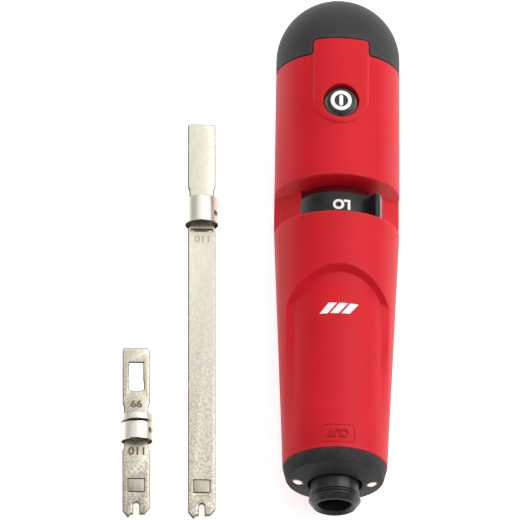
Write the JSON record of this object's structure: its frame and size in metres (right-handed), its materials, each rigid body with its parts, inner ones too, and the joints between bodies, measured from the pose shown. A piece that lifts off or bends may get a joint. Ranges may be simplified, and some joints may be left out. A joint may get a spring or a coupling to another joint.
{
  "type": "punch down tool",
  "caption": "Spring-hammer punch down tool with dome palm cap, low and high selector ring, light button and bayonet blade socket, lying beside a short reversible and a long reach blade.",
  "frame": {"origin": "front edge of the blade socket's bore, on the tool's axis", "axes": "+Y along the tool to the palm cap, +Z out through the light button, +X to the right with the cap away from the viewer; the tool lies face up and the loose blades lie at -X on the same surface"},
  "size_m": [0.0829, 0.1646, 0.0387],
  "materials": {
    "red_plastic": "fine matte texture",
    "black_plastic": "matte",
    "button_black": "satin",
    "white_plastic": "satin",
    "dark_rubber": "matte",
    "lamp_lens": "clear and lit",
    "circuit_board": "solder resist",
    "wire_sleeve": "satin",
    "bronze": "turned",
    "bright_steel": "ground",
    "dark_steel": "blackened, satin",
    "nickel_steel": "nickel plated, satin",
    "ground_steel": "ground",
    "cell_jacket": "printed film"
  },
  "bodies": {
    "handle": {"front_shell": "red_plastic", "back_shell": "red_plastic", "nose_ring": "black_plastic", "led_left": "lamp_lens", "led_right": "lamp_lens", "led_board": "circuit_board", "led_wires": "wire_sleeve", "guide_bush": "bronze", "bumper_washer": "dark_rubber", "core_tube": "bright_steel", "core_plug": "bright_steel", "battery_holder": "black_plastic", "battery_cells": "cell_jacket", "battery_springs": "bright_steel", "switch_board": "circuit_board", "switch_body": "black_plastic", "shell_screws": "dark_steel", "detent_ball": "bright_steel", "detent_spring": "bright_steel"},
    "spindle": {"blade_collar": "dark_steel", "lock_ring": "dark_steel", "striker_rod": "bright_steel", "return_spring": "bright_steel"},
    "hammer": {"hammer": "dark_steel", "main_spring": "bright_steel"},
    "latch": {"trip_latch": "bright_steel", "latch_spring": "bright_steel"},
    "seat": {"spring_seat": "bronze"},
    "selector": {"selector_ring": "black_plastic"},
    "button": {"light_button": "button_black", "button_symbol": "white_plastic", "switch_plunger": "white_plastic"},
    "cap": {"palm_cap": "dark_rubber", "cap_core": "black_plastic", "cap_contact": "bright_steel"},
    "short_blade": {"short_blade": "nickel_steel", "short_sleeve": "nickel_steel", "short_cutter": "ground_steel"},
    "long_blade": {"long_blade": "nickel_steel", "long_sleeve": "nickel_steel", "long_cutter": "ground_steel"}
  },
  "joints": [
    {"name": "spindle_slide", "type": "slide", "parent": "handle", "child": "spindle", "axis": [0, 1, 0], "range_m": [0, 0.007], "stiffness_N_per_m": 1500, "springref_m": -0.01},
    {"name": "hammer_slide", "type": "slide", "parent": "handle", "child": "hammer", "axis": [0, 1, 0], "range_m": [0, 0.007], "deforming": ["main_spring"]},
    {"name": "latch_slide", "type": "slide", "parent": "hammer", "child": "latch", "axis": [-1, 0, 0], "range_m": [0, 0.0015], "deforming": ["latch_spring"]},
    {"name": "selector_turn", "type": "hinge", "parent": "handle", "child": "selector", "pos_m": [0, 0.0932, 0], "axis": [0, -1, 0], "range_deg": [0, 108]},
    {"name": "seat_slide", "type": "slide", "parent": "handle", "child": "seat", "axis": [0, -1, 0], "range_m": [0, 0.003]},
    {"name": "button_push", "type": "slide", "parent": "handle", "child": "button", "axis": [0, 0, -1], "range_m": [0, 0.0009], "stiffness_N_per_m": 500, "springref_m": -0.002},
    {"name": "cap_pull", "type": "slide", "parent": "handle", "child": "cap", "axis": [0, 1, 0], "range_m": [0, 0.05]},
    {"name": "short_blade_lift", "type": "slide", "parent": "handle", "child": "short_blade", "axis": [0, 0, 1], "range_m": [0, 0.05]},
    {"name": "long_blade_lift", "type": "slide", "parent": "handle", "child": "long_blade", "axis": [0, 0, 1], "range_m": [0, 0.05]}
  ],
  "couplings": [
    {"joint": "hammer_slide", "follows": "spindle_slide", "ratio": 1},
    {"joint": "latch_slide", "follows": "spindle_slide", "ratio": 0.2142},
    {"joint": "seat_slide", "follows": "selector_turn", "m_per_rad": 0.0015915}
  ]
}
